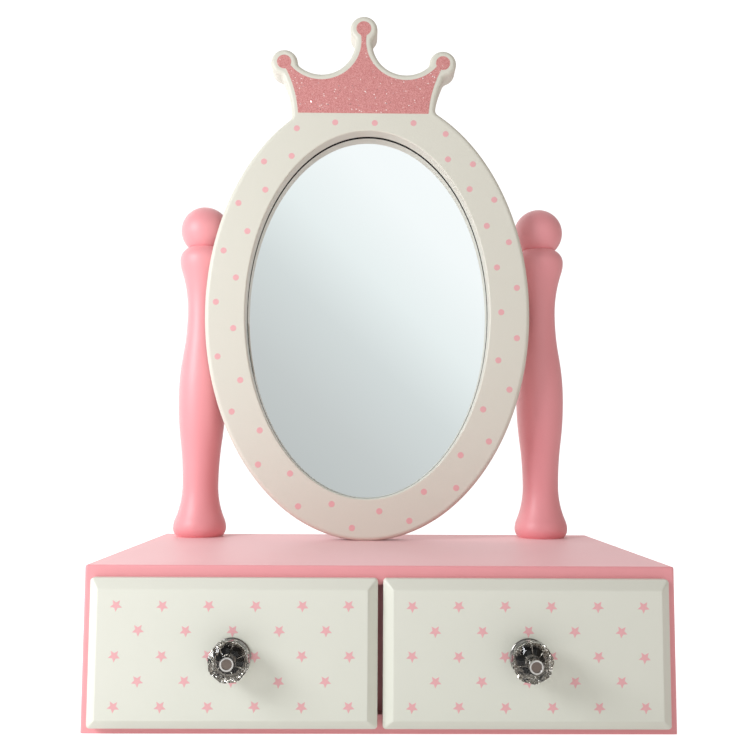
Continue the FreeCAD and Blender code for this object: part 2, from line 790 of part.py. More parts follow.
def drawer(side):
    """An open box with a grooved-in bottom and a bevelled front screwed on from inside."""
    sign = sides[side]
    x = sign * knobX
    height = (boxLow, boxHigh)
    depth = (frontBack, boxBack)
    bolt = knob(side, x)
    screws = []
    for name, offset in (("inner", -1), ("outer", 1)):
        point = (x + offset * (frontFar - frontNear - 2 * size.front_screw_inset) / 2,
                 innerFrontBack + size.screw_head_height, knobZ)
        screws.append(screwUp("%s_front_screw_%s" % (side, name), point,
                              size.front_screw_radius, size.front_screw_length,
                              size.screw_head_radius, size.screw_head_height, "-y"))
    frontScrews = group(side + "_front_screws", screws)
    innerNear = boxNear + size.drawer_wall
    innerFar = boxFar - size.drawer_wall
    groove = size.drawer_groove
    bottomLow = boxLow + size.drawer_bottom_lift
    bottom = block(side + "_drawer_bottom", spanX(side, innerNear - groove, innerFar + groove),
                   (innerFrontBack - groove, boxBack - size.drawer_wall + groove),
                   (bottomLow, bottomLow + size.drawer_bottom_thickness))
    nearSide = block(side + "_near_blank", spanX(side, boxNear, innerNear), depth, height)
    farSide = block(side + "_far_blank", spanX(side, innerFar, boxFar), depth, height)
    inside = spanX(side, innerNear, innerFar)
    backBlank = block(side + "_back_blank", inside, (boxBack - size.drawer_wall, boxBack), height)
    frontBlank = block(side + "_inner_front_blank", inside, (frontBack, innerFrontBack), height)
    cut(side + "_drawer_side_inner", nearSide, bottom)
    cut(side + "_drawer_side_outer", farSide, bottom)
    cut(side + "_drawer_back", backBlank, bottom)
    cut(side + "_drawer_inner_front", frontBlank, bottom, bolt, frontScrews)
    cut(side + "_drawer_front", falseFront(side), bolt, frontScrews)


for side in sides:
    drawer(side)
doc.recompute()

# Check every object, then write one file for each piece.
pieces = ["carcass_dowels", "bottom_panel", "top_panel", "left_side_panel", "right_side_panel"]
pieces += ["centre_divider", "back_panel", "post_screws", "post_washers", "left_post", "right_post"]
pieces += ["mirror_frame", "mirror_glass", "bedding_strip", "mirror_backing", "mirror_rail"]
pieces += ["rail_spacers", "rail_screws", "foot_screw"]
drawerPieces = ["drawer_front", "drawer_inner_front", "drawer_side_inner", "drawer_side_outer"]
drawerPieces += ["drawer_back", "drawer_bottom", "front_screws", "knob_base", "knob_crystal"]
drawerPieces += ["knob_cap", "knob_bolt", "knob_washer"]
pieces += [side + "_" + name for side in sides for name in drawerPieces]

faults = [item.Label for item in doc.Objects if {"Invalid", "Error"} & set(item.State)]
if faults:
    raise RuntimeError("failed objects: " + ", ".join(faults))
os.makedirs("parts", exist_ok=True)
for name in pieces:
    shape = doc.getObject(name).Shape
    if shape.isNull() or not shape.isValid():
        raise RuntimeError("bad shape: " + name)
    shape.exportStep("parts/%s.step" % name)
print("wrote %d pieces" % len(pieces))
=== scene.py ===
import bpy
import bmesh
import json
import math
import numpy as np
from mathutils import Matrix, Vector

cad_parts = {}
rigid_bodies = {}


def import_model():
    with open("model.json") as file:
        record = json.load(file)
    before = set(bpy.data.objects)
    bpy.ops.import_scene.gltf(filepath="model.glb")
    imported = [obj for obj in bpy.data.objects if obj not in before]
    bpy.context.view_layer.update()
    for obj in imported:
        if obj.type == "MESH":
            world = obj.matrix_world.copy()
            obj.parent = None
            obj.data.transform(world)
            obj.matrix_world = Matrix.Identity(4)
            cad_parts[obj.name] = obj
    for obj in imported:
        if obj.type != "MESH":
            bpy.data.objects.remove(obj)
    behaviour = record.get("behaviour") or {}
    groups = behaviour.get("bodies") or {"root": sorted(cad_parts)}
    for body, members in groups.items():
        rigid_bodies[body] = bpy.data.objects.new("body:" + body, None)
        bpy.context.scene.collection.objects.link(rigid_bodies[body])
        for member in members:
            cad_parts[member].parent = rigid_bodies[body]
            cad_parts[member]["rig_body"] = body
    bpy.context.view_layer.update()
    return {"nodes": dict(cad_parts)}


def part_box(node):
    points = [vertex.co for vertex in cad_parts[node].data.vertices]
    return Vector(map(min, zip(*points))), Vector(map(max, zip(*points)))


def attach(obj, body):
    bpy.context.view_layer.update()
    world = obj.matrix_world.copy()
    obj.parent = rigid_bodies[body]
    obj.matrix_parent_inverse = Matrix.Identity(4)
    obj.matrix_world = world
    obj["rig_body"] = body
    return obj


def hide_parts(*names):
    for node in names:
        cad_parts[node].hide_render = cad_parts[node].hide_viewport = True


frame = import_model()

mm = 0.001
sides = ("left", "right")
rng = np.random.default_rng(17)
print("frame: %d nodes" % len(frame["nodes"]))


# Shader nodes
def link(tree, source, target):
    tree.links.new(source, target)


def feed(tree, value, socket):
    # a socket takes another node's output or a plain value
    if hasattr(value, "is_output"):
        link(tree, value, socket)
    else:
        socket.default_value = value


def addNode(tree, kind, values=None, **settings):
    node = tree.nodes.new(kind)
    for name, value in settings.items():
        setattr(node, name, value)
    for name, value in (values or {}).items():
        feed(tree, value, node.inputs[name])
    return node


def calculate(tree, operation, first, second, third=0.0):
    rows = {0: first, 1: second, 2: third}
    return addNode(tree, "ShaderNodeMath", rows, operation=operation).outputs[0]


def mapRange(tree, value, low, high, toLow=0.0, toHigh=1.0):
    rows = {"Value": value, "From Min": low, "From Max": high, "To Min": toLow, "To Max": toHigh}
    return addNode(tree, "ShaderNodeMapRange", rows).outputs[0]


def mixColor(tree, factor, first, second, blend="MIX"):
    # sockets 0, 6 and 7 of a colour mix are its factor and its two colours
    rows = {0: factor, 6: first, 7: second}
    node = addNode(tree, "ShaderNodeMix", rows, data_type="RGBA", blend_type=blend)
    return node.outputs[2]


def splitColor(tree, color):
    return addNode(tree, "ShaderNodeSeparateColor", {"Color": color}).outputs


def noise(tree, place, scale, detail, roughness=0.5):
    rows = {"Vector": place, "Scale": scale, "Detail": detail, "Roughness": roughness}
    return addNode(tree, "ShaderNodeTexNoise", rows).outputs["Fac"]


def cells(tree, place, scale):
    return addNode(tree, "ShaderNodeTexVoronoi", {"Vector": place, "Scale": scale}).outputs


def bumpNormal(tree, strength, distance, height):
    rows = {"Strength": strength, "Distance": distance, "Height": height}
    return addNode(tree, "ShaderNodeBump", rows).outputs["Normal"]


def solid(color):
    return (*color, 1)


# Shader groups
def newGroup(name, inputs, outputs):
    # inputs are (name, socket kind, default) rows, outputs are (name, socket kind) rows
    group = bpy.data.node_groups.new(name, "ShaderNodeTree")
    for label, kind, default in inputs:
        socket = group.interface.new_socket(name=label, in_out="INPUT",
                                            socket_type="NodeSocket" + kind)
        if default is not None:
            socket.default_value = default
    for label, kind in outputs:
        group.interface.new_socket(name=label, in_out="OUTPUT", socket_type="NodeSocket" + kind)
    given = group.nodes.new("NodeGroupInput").outputs
    result = group.nodes.new("NodeGroupOutput").inputs
    return group, given, result


sprayLook = {
    "cloudScale": 22.0, "cloudDetail": 5.0, "cloudRoughness": 0.62,
    "speckScale": 2600.0, "speckDetail": 2.0, "speckRange": (0.35, 0.75), "speckShare": 0.10,
    "peelScale": 900.0, "peelDetail": 3.0,
    "nibScale": 130.0, "nibSize": 0.07, "nibHeight": 0.6,
    "roughnessSwing": 0.12, "bumpDepth": 0.0004,
}


def buildSprayedPaint(look):
    # soft mottling of the colour, and the fine orange peel and few dust nibs of sprayed paint
    group, given, result = newGroup(
        "sprayedPaint",
        [("Vector", "Vector", None), ("Color", "Color", (0.8, 0.8, 0.8, 1)),
         ("Shade", "Color", (0.7, 0.7, 0.7, 1)), ("Mottle", "Float", 0.3),
         ("Peel", "Float", 0.12), ("Roughness", "Float", 0.4)],
        [("Color", "Color"), ("Roughness", "Float"), ("Normal", "Vector")])
    place = given["Vector"]
    cloud = noise(group, place, look["cloudScale"], look["cloudDetail"], look["cloudRoughness"])
    speck = noise(group, place, look["speckScale"], look["speckDetail"])
    peel = noise(group, place, look["peelScale"], look["peelDetail"])
    nib = mapRange(group, cells(group, place, look["nibScale"])["Distance"],
                   0.0, look["nibSize"], look["nibHeight"], 0.0)
    mottle = calculate(group, "MULTIPLY", cloud, given["Mottle"])
    tint = mixColor(group, mottle, given["Color"], given["Shade"])
    specks = mapRange(group, speck, *look["speckRange"], 0.0, look["speckShare"])
    link(group, mixColor(group, specks, tint, given["Shade"]), result["Color"])
    swing = look["roughnessSwing"]
    rough = calculate(group, "MULTIPLY_ADD", cloud, swing, -swing / 2)
    link(group, calculate(group, "ADD", rough, given["Roughness"]), result["Roughness"])
    height = calculate(group, "ADD", peel, nib)
    link(group, bumpNormal(group, given["Peel"], look["bumpDepth"], height), result["Normal"])
    return group


fibreGrainLook = {"detail": 6.0, "roughness": 0.65, "range": (0.3, 0.75), "fleckSize": 0.25,
                  "fleckShare": 0.35, "bumpDepth": 0.0003}


def buildFibreGrain(look):
    # pressed fibre or straight timber grain: noise stretched along one axis, plus short flecks
    group, given, result = newGroup(
        "fibreGrain",
        [("Vector", "Vector", None), ("Color", "Color", (0.5, 0.4, 0.3, 1)),
         ("Shade", "Color", (0.3, 0.2, 0.1, 1)), ("Stretch", "Vector", (1.0, 1.0, 1.0)),
         ("Scale", "Float", 300.0), ("Depth", "Float", 0.3)],
        [("Color", "Color"), ("Normal", "Vector")])
    place = addNode(group, "ShaderNodeVectorMath", {0: given["Vector"], 1: given["Stretch"]},
                    operation="MULTIPLY").outputs[0]
    grain = noise(group, place, given["Scale"], look["detail"], look["roughness"])
    tint = mixColor(group, mapRange(group, grain, *look["range"]), given["Color"], given["Shade"])
    fleck = cells(group, place, given["Scale"])["Distance"]
    dark = mapRange(group, fleck, 0.0, look["fleckSize"], look["fleckShare"], 0.0)
    link(group, mixColor(group, dark, tint, given["Shade"]), result["Color"])
    link(group, bumpNormal(group, given["Depth"], look["bumpDepth"], grain), result["Normal"])
    return group


smudgeLook = {"cloudScale": 60.0, "cloudDetail": 4.0, "cloudRange": (0.35, 0.7),
              "scratchScale": 1400.0, "scratchDetail": 2.0, "bumpDepth": 0.00005}


def buildSmudge(look):
    # cloudy roughness and a very fine ripple of wear, for metal, glass and clear plastic
    group, given, result = newGroup(
        "smudge",
        [("Vector", "Vector", None), ("Low", "Float", 0.02), ("High", "Float", 0.08),
         ("Scratch", "Float", 0.05)],
        [("Roughness", "Float"), ("Normal", "Vector")])
    cloud = noise(group, given["Vector"], look["cloudScale"], look["cloudDetail"])
    rough = mapRange(group, cloud, *look["cloudRange"], given["Low"], given["High"])
    link(group, rough, result["Roughness"])
    scratch = noise(group, given["Vector"], look["scratchScale"], look["scratchDetail"])
    link(group, bumpNormal(group, given["Scratch"], look["bumpDepth"], scratch), result["Normal"])
    return group


sprayedPaint = buildSprayedPaint(sprayLook)
fibreGrain = buildFibreGrain(fibreGrainLook)
smudge = buildSmudge(smudgeLook)


# Materials
def newMaterial(name):
    material = bpy.data.materials.new(name)
    material.use_nodes = True
    tree = material.node_tree
    place = tree.nodes.new("ShaderNodeTexCoord").outputs["Object"]
    return material, tree, tree.nodes["Principled BSDF"], place


def setSockets(node, values):
    for name, value in values.items():
        node.inputs[name].default_value = value


def useGroup(tree, group, place, shader, values):
    # the group with this material's own values; each of its outputs feeds the shader
    node = tree.nodes.new("ShaderNodeGroup")
    node.node_tree = group
    link(tree, place, node.inputs["Vector"])
    setSockets(node, values)
    for output in node.outputs:
        link(tree, output, shader.inputs[{"Color": "Base Color"}.get(output.name, output.name)])


sheenRoughness = 0.4


def paintMaterial(name, look):
    material, tree, shader, place = newMaterial(name)
    useGroup(tree, sprayedPaint, place, shader, {
        "Color": solid(look["color"]), "Shade": solid(look["shade"]), "Mottle": look["mottle"],
        "Peel": look["peel"], "Roughness": look["roughness"]})
    setSockets(shader, {"Coat Weight": look["coat"], "Coat Roughness": look["coatRoughness"],
                        "IOR": look["ior"], "Sheen Weight": look["sheen"],
                        "Sheen Roughness": sheenRoughness})
    return material


paintLooks = {
    "pinkPaint": {"color": (0.89, 0.345, 0.375), "shade": (0.84, 0.30, 0.325), "mottle": 0.35,
                  "peel": 0.16, "roughness": 0.5, "coat": 0.45, "coatRoughness": 0.42,
                  "ior": 1.58, "sheen": 0.45},
    "creamPaint": {"color": (0.76, 0.76, 0.675), "shade": (0.70, 0.70, 0.605), "mottle": 0.3,
                   "peel": 0.12, "roughness": 0.42, "coat": 0.12, "coatRoughness": 0.3,
                   "ior": 1.5, "sheen": 0},
    "boardPaint": {"color": (0.74, 0.725, 0.635), "shade": (0.68, 0.66, 0.565), "mottle": 0.3,
                   "peel": 0.12, "roughness": 0.42, "coat": 0.12, "coatRoughness": 0.3,
                   "ior": 1.5, "sheen": 0},
    "printPink": {"color": (0.84, 0.44, 0.46), "shade": (0.79, 0.37, 0.39), "mottle": 0.3,
                  "peel": 0.08, "roughness": 0.5, "coat": 0.05, "coatRoughness": 0.4,
                  "ior": 1.5, "sheen": 0},
    # near-black: partly the bedding strip's own black and partly painted shade, standing for the
    # dark gap between the board's lip and the glass
    "blackStrip": {"color": (0.012, 0.012, 0.012), "shade": (0.02, 0.02, 0.02), "mottle": 0.5,
                   "peel": 0.2, "roughness": 0.85, "coat": 0, "coatRoughness": 0.03,
                   "ior": 1.2, "sheen": 0},
}


def fibreMaterial(name, look):
    material, tree, shader, place = newMaterial(name)
    useGroup(tree, fibreGrain, place, shader, {
        "Color": solid(look["color"]), "Shade": solid(look["shade"]),
        "Stretch": look["stretch"], "Scale": look["scale"], "Depth": look["depth"]})
    setSockets(shader, {"Roughness": look["roughness"]})
    return material


fibreLooks = {
    "rawBoard": {"color": (0.52, 0.37, 0.22), "shade": (0.40, 0.27, 0.15),
                 "stretch": (1, 1, 1), "scale": 700, "depth": 0.35, "roughness": 0.8},
    "hardboard": {"color": (0.20, 0.11, 0.055), "shade": (0.12, 0.062, 0.03),
                  "stretch": (1, 1, 1), "scale": 500, "depth": 0.2, "roughness": 0.55},
    "beech": {"color": (0.66, 0.45, 0.26), "shade": (0.50, 0.31, 0.16),
              "stretch": (1, 1, 0.08), "scale": 900, "depth": 0.25, "roughness": 0.6},
}


def metalMaterial(name, look):
    material, tree, shader, place = newMaterial(name)
    useGroup(tree, smudge, place, shader,
             {"Low": look["low"], "High": look["high"], "Scratch": look["scratch"]})
    setSockets(shader, {"Base Color": solid(look["color"]), "Metallic": 1.0})
    return material


metalLooks = {
    "silvered": {"color": (0.93, 0.955, 0.96), "low": 0.0, "high": 0.02, "scratch": 0.0},
    "chrome": {"color": (0.62, 0.61, 0.59), "low": 0.06, "high": 0.16, "scratch": 0.2},
    "zincSteel": {"color": (0.55, 0.55, 0.53), "low": 0.22, "high": 0.4, "scratch": 0.5},
    "darkChrome": {"color": (0.26, 0.245, 0.23), "low": 0.1, "high": 0.25, "scratch": 0.3},
    "dishMetal": {"color": (0.19, 0.155, 0.135), "low": 0.25, "high": 0.4, "scratch": 0.4},
    "flakeFoil": {"color": (0.98, 0.86, 0.86), "low": 0.1, "high": 0.3, "scratch": 0.2},
}

crystalLook = {"dark": (0.36, 0.31, 0.27), "light": (1.0, 1.0, 0.93), "cells": 950, "ior": 1.49,
               "low": 0.0, "high": 0.05, "scratch": 0.1}


def crystalMaterial(name, look):
    # clear plastic; the cells are painted reflections: they stand for the many small images that
    # its facets make of the metal
    material, tree, shader, place = newMaterial(name)
    useGroup(tree, smudge, place, shader,
             {"Low": look["low"], "High": look["high"], "Scratch": look["scratch"]})
    # painted reflections: each cell is darker or lighter, standing for one small image of the
    # metal
    share = splitColor(tree, cells(tree, place, look["cells"])["Color"])[0]
    tint = mixColor(tree, share, solid(look["dark"]), solid(look["light"]))
    link(tree, tint, shader.inputs["Base Color"])
    setSockets(shader, {"Transmission Weight": 1.0, "IOR": look["ior"]})
    return material


glitterLook = {"color": (0.62, 0.20, 0.20), "light": (0.80, 0.38, 0.36),
               "paintedGlint": (1.0, 0.88, 0.86), "paintedGlintAbove": 0.991, "grain": 2300, "flake": 1500,
               "metallic": 0.35, "roughness": 0.45, "bump": 0.5, "bumpDepth": 0.0003}


def glitterMaterial(name, look):
    # two sizes of flakes: each cell has its own brightness and leans its own way, and the few
    # brightest coarse cells are painted glints
    material, tree, shader, place = newMaterial(name)
    fine = splitColor(tree, cells(tree, place, look["grain"])["Color"])
    coarse = splitColor(tree, cells(tree, place, look["flake"])["Color"])
    tint = mixColor(tree, fine[0], solid(look["color"]), solid(look["light"]))
    # painted glints: near-white base colour on the coarse cells above the threshold
    bright = calculate(tree, "GREATER_THAN", coarse[1], look["paintedGlintAbove"])
    link(tree, mixColor(tree, bright, tint, solid(look["paintedGlint"])), shader.inputs["Base Color"])
    metallic = calculate(tree, "MULTIPLY", coarse[2], look["metallic"])
    link(tree, metallic, shader.inputs["Metallic"])
    setSockets(shader, {"Roughness": look["roughness"]})
    normal = bumpNormal(tree, look["bump"], look["bumpDepth"], fine[1])
    link(tree, normal, shader.inputs["Normal"])
    return material


finishes = {}
for maker, looks in ((paintMaterial, paintLooks), (fibreMaterial, fibreLooks),
                     (metalMaterial, metalLooks), (crystalMaterial, {"clearAcrylic": crystalLook}),
                     (glitterMaterial, {"glitterPaint": glitterLook})):
    finishes.update({name: maker(name, look) for name, look in looks.items()})
print("materials ready")


# Meshes
def boxOf(node):
    # low corner, high corner and middle of a CAD piece's box, in millimetres
    low, high = (np.array(corner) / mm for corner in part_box(node))
    return low, high, (low + high) / 2


def addObject(name, data):
    item = bpy.data.objects.new(name, data)
    bpy.context.scene.collection.objects.link(item)
    return item


def addMesh(name, points, faces, material):
    # points are in millimetres
    mesh = bpy.data.meshes.new(name)
    mesh.from_pydata((np.asarray(points, float) * mm).tolist(), [], faces)
    mesh.update()
    mesh.materials.append(material)
    return addObject(name, mesh)


def shadeMesh(mesh, sharpAngle):
    # edges under the sharp angle shade smoothly; with 0, every facet stays flat
    if sharpAngle:
        mesh.shade_smooth()
        mesh.set_sharp_from_angle(angle=math.radians(sharpAngle))
    else:
        mesh.shade_flat()


def meshPiece(name, points, faces, finish, body, sharpAngle=0):
    piece = addMesh(name, points, faces, finishes[finish])
    shadeMesh(piece.data, sharpAngle)
    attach(piece, body)
    return piece


def ringPairs(count):
    # each step round a closed ring, and the step after it
    ring = np.arange(count)
    return ring, (ring + 1) % count


def gridFaces(rows, columns):
    # quads of a grid whose columns wrap round, each row of points one ring
    row, column = np.meshgrid(np.arange(rows - 1), np.arange(columns), indexing="ij")
    here = row * columns + column
    beside = row * columns + (column + 1) % columns
    quads = np.stack([here, beside, beside + columns, here + columns], -1)
    return quads.reshape(-1, 4).tolist()


turnedSharpAngle = 35


def lathe(name, radius, height, turns, place, finish, body, towards="+z"):
    # a closed turned solid: x = r cos a, y = r sin a and z = height, for every profile point and
    # every angle; the first and last rings close on one point each
    radius, height = np.asarray(radius, float), np.asarray(height, float)
    angle = np.linspace(0, 2 * math.pi, turns, endpoint=False)
    points = np.stack([radius[:, None] * np.cos(angle), radius[:, None] * np.sin(angle),
                       np.repeat(height[:, None], turns, 1)], -1).reshape(-1, 3)
    count = len(points)
    points = np.vstack([points, [[0, 0, height[0]], [0, 0, height[-1]]]])
    ring, after = ringPairs(turns)
    lastRow = count - turns
    faces = gridFaces(len(radius), turns)
    faces += np.stack([after, ring, np.full(turns, count)], -1).tolist()
    faces += np.stack([ring + lastRow, after + lastRow, np.full(turns, count + 1)], -1).tolist()
    if towards == "-y":
        points = np.stack([points[:, 0], -points[:, 2], points[:, 1]], -1)
    return meshPiece(name, points + np.asarray(place), faces, finish, body, turnedSharpAngle)


def thinPlates(name, outlines, thickness, finish, body):
    # closed plates: each row of outlines is one front face, and its twin lies behind it
    count, corners = outlines.shape[:2]
    points = np.concatenate([outlines, outlines + np.array([0, thickness, 0])], 1)
    ring, after = ringPairs(corners)
    start = np.arange(count)[:, None] * corners * 2
    walls = np.stack([ring, ring + corners, after + corners, after], -1) + start[:, :, None]
    faces = (ring + start).tolist() + (ring[::-1] + corners + start).tolist()
    faces += walls.reshape(-1, 4).tolist()
    meshPiece(name, points.reshape(-1, 3), faces, finish, body)


# Box and oval board
copyLook = {"mergeWithin": 2e-6, "flatAngle": 0.2, "sharpAngle": 30}


def tidyCopy(node, name, finish):
    # the CAD piece with its loose triangles merged, so that its roundings shade smoothly
    source = frame["nodes"][node]
    mesh = source.data.copy()
    mesh.name = name
    shape = bmesh.new()
    shape.from_mesh(mesh)
    bmesh.ops.remove_doubles(shape, verts=shape.verts, dist=copyLook["mergeWithin"])
    bmesh.ops.dissolve_limit(shape, angle_limit=math.radians(copyLook["flatAngle"]),
                             verts=shape.verts, edges=shape.edges)
    shape.to_mesh(mesh)
    shape.free()
    mesh.materials.clear()
    mesh.materials.append(finishes[finish])
    shadeMesh(mesh, copyLook["sharpAngle"])
    piece = addObject(name, mesh)
    piece.modifiers.new("evenShading", "WEIGHTED_NORMAL").keep_sharp = True
    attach(piece, source["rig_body"])
    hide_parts(node)


for node in ("top_panel", "bottom_panel", "left_side_panel", "right_side_panel"):
    tidyCopy(node, node.replace("_panel", "_painted"), "pinkPaint")
tidyCopy("mirror_frame", "oval_board", "boardPaint")

# Drawer fronts
# Each ring's inset and depth in shares of soft, from the back's rim, the bevel's foot and its top.
frontLook = {
    "corner": 1.6, "cornerSteps": 7, "cornerLoss": 0.25, "leastCorner": 0.3,
    "bevel": 4.6, "soft": 0.5, "sharpAngle": 60,
    "backRim": [(1, 0), (0.3, 0.3), (0, 1)],
    "bevelFoot": [(0, -1), (0.15, 0), (0.5, 0.7)],
    "bevelTop": [(-0.7, -1), (-0.1, -0.45), (0.5, -0.1), (1.3, 0)],
}


def bevelledFront(side):
    # rounded rectangles in a row from the back to the face: a quarter circle at each corner,
    # whose radius shrinks by a share of the ring's inset
    look = frontLook
    low, high, middle = boxOf(side + "_drawer_front")
    wide, deep, tall = high - low
    starts = (("backRim", 0, 0), ("bevelFoot", 0, deep - look["bevel"]),
              ("bevelTop", look["bevel"], deep))
    rings = [(inset + share[0] * look["soft"], depth + share[1] * look["soft"])
             for name, inset, depth in starts for share in look[name]]
    angle = np.radians(np.linspace(0, 90, look["cornerSteps"]))
    angle = np.concatenate([angle + quarter * math.pi / 2 for quarter in range(4)])
    signX = np.repeat([1, -1, -1, 1], look["cornerSteps"])
    signZ = np.repeat([1, 1, -1, -1], look["cornerSteps"])
    layers = []
    for inset, depth in rings:
        radius = max(look["corner"] - inset * look["cornerLoss"], look["leastCorner"])
        x = signX * (wide / 2 - inset - radius) + radius * np.cos(angle)
        z = signZ * (tall / 2 - inset - radius) + radius * np.sin(angle)
        layers.append(np.stack([x, np.full_like(x, -depth), z], -1))
    count = len(angle)
    ring = np.arange(count)
    faces = gridFaces(len(rings), count)
    faces += [ring[::-1].tolist(), (ring + (len(rings) - 1) * count).tolist()]
    points = np.vstack(layers) + np.array([middle[0], high[1], middle[2]])
    piece = meshPiece(side + "_bevelled_front", points, faces, "creamPaint", side + "_drawer",
                      look["sharpAngle"])
    piece.modifiers.new("evenShading", "WEIGHTED_NORMAL")
    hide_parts(side + "_drawer_front")


for side in sides:
    bevelledFront(side)

# CAD pieces that show as they are
cabinetFinish = {
    "pinkPaint": ("centre_divider", "back_panel", "mirror_rail"),
    "beech": ("carcass_dowels", "rail_spacers"),
    "hardboard": ("mirror_backing",),
    "silvered": ("mirror_glass",),
    "blackStrip": ("bedding_strip",),
    "zincSteel": ("post_screws", "post_washers", "rail_screws", "foot_screw"),
}
drawerFinish = {
    "rawBoard": ("drawer_inner_front", "drawer_side_inner", "drawer_side_outer", "drawer_back"),
    "hardboard": ("drawer_bottom",),
    "zincSteel": ("front_screws", "knob_bolt", "knob_washer"),
}


def dressNodes(rows, prefix=""):
    for finish, nodes in rows.items():
        for node in nodes:
            slots = frame["nodes"][prefix + node].data.materials
            slots.clear()
            slots.append(finishes[finish])


dressNodes(cabinetFinish)
for side in sides:
    dressNodes(drawerFinish, side + "_")
print("box and board ready")

# Turned posts
# Each swell and waist is its radius and its height above the box top. Between a waist and a
# swell the profile is two arcs that meet on one tangent.
postLook = {
    "contact": 14.6, "foot": (17.2, 5.5), "lowerWaist": (11.6, 33.0), "belly": (15.4, 91.5),
    "upperWaist": (10.65, 148.0), "collar": (16.4, 183.0), "crease": 191.5, "ball": (16.1, 203.5),
    "endShare": 0.8, "tipRadius": 1e-4, "turns": 128,
    "endRows": 10, "neckRows": 34, "bodyRows": 30, "ballRows": 48,
}


def swellCurve(height, waist, swell, share=0.5):
    # near the waist r = w + R1 - sqrt(R1^2 - t^2), near the swell r = s - R2 + sqrt(R2^2 - t^2)
    out = swell[0] - waist[0]
    rise = abs(swell[1] - waist[1])
    both = (rise ** 2 + out ** 2) / (2 * out)
    fromWaist = np.abs(height - waist[1])
    fromSwell = np.abs(height - swell[1])
    hollow = both * share
    bulge = both * (1 - share)
    low = waist[0] + hollow - np.sqrt(np.maximum(hollow ** 2 - fromWaist ** 2, 0))
    high = swell[0] - bulge + np.sqrt(np.maximum(bulge ** 2 - fromSwell ** 2, 0))
    return np.where(fromWaist < rise * share, low, high)


def endCurve(height, swell, out, rise):
    # one arc that leaves the swell upright and has come in by out after rise:
    # r = s - R + sqrt(R^2 - t^2), where R = (out^2 + rise^2) / (2 out)
    radius = (out ** 2 + rise ** 2) / (2 * out)
    return swell[0] - radius + np.sqrt(radius ** 2 - (height - swell[1]) ** 2)


def postProfile(look):
    # from the foot up to the crease one stretch after another, then the ball's own arc
    foot, lower, belly = look["foot"], look["lowerWaist"], look["belly"]
    upper, collar, ball = look["upperWaist"], look["collar"], look["ball"]
    crease, share = look["crease"], look["endShare"]
    creaseRadius = math.sqrt(ball[0] ** 2 - (ball[1] - crease) ** 2)
    stretches = [
        (0, foot[1], "endRows", lambda z: endCurve(z, foot, foot[0] - look["contact"], foot[1])),
        (foot[1], lower[1], "neckRows", lambda z: swellCurve(z, lower, foot, share)),
        (lower[1], belly[1], "bodyRows", lambda z: swellCurve(z, lower, belly)),
        (belly[1], upper[1], "bodyRows", lambda z: swellCurve(z, upper, belly)),
        (upper[1], collar[1], "neckRows", lambda z: swellCurve(z, upper, collar, share)),
        (collar[1], crease, "endRows",
         lambda z: endCurve(z, collar, collar[0] - creaseRadius, crease - collar[1])),
    ]
    heights, radii = [], []
    for low, high, rows, curve in stretches:
        z = np.linspace(low, high, look[rows], endpoint=False)
        heights.append(z)
        radii.append(curve(z))
    angle = np.linspace(math.asin((crease - ball[1]) / ball[0]), math.pi / 2, look["ballRows"] + 1)
    heights.append(ball[1] + ball[0] * np.sin(angle))
    radii.append(np.maximum(ball[0] * np.cos(angle), look["tipRadius"]))
    return np.concatenate(radii), np.concatenate(heights)


def post(side):
    low, high, middle = boxOf(side + "_post")
    radius, height = postProfile(postLook)
    piece = lathe(side + "_turned_post", radius, height, postLook["turns"],
                  (middle[0], middle[1], low[2]), "pinkPaint", "cabinet")
    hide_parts(side + "_post")


for side in sides:
    post(side)
print("posts ready")

# Printed stars on the drawer fronts
starLook = {"across": 21.95, "down": 11.6, "rows": 5, "columns": 6, "points": 5, "tip": 2.95,
            "notch": 1.36, "raise": 0.05, "turn": 5.0, "drift": 0.12, "lower": 0.5}


def flatPrint(name, x, z, face, thickness, body):
    # each row of x and z is one outline; half of the plate's thickness is sunk in the face
    outlines = np.stack([x, np.full_like(x, face - thickness), z], -1)
    thinPlates(name, outlines, 2 * thickness, "printPink", body)


def starPrint(side):
    # rows of 6 and 5 stars in turn, each row half a pitch along; one point of each star hangs down
    look = starLook
    low, high, middle = boxOf(side + "_drawer_front")
    centres = []
    for row in range(look["rows"]):
        count = look["columns"] - row % 2
        along = (np.arange(count) - (count - 1) / 2) * look["across"]
        up = np.full(count, (look["rows"] // 2 - row) * look["down"])
        centres.append(np.stack([along, up], -1))
    centres = np.vstack(centres)
    centres = centres + rng.normal(0, look["drift"], centres.shape)
    lean = np.radians(rng.uniform(-look["turn"], look["turn"], len(centres)))
    corner = np.arange(look["points"] * 2)
    reach = np.where(corner % 2 == 0, look["tip"], look["notch"])
    angle = -math.pi / 2 + corner * math.pi / look["points"] + lean[:, None]
    x = middle[0] + centres[:, :1] + reach * np.cos(angle)
    z = middle[2] - look["lower"] + centres[:, 1:] + reach * np.sin(angle)
    flatPrint(side + "_star_print", x, z, low[1], look["raise"], side + "_drawer")


for side in sides:
    starPrint(side)

# Printed dots on the oval board
dotLook = {"count": 39, "first": 0.321, "last": 1.173, "bow": 0.016, "skew": 0.0184,
           "outerGap": 7.3, "innerGap": 18.5, "topCount": 3, "topReach": 25.6, "topShift": 4.0,
           "topDrop": 20.6, "radius": 1.95, "corners": 24, "raise": 0.05, "drift": 0.3,
           "rimSteps": 2001}


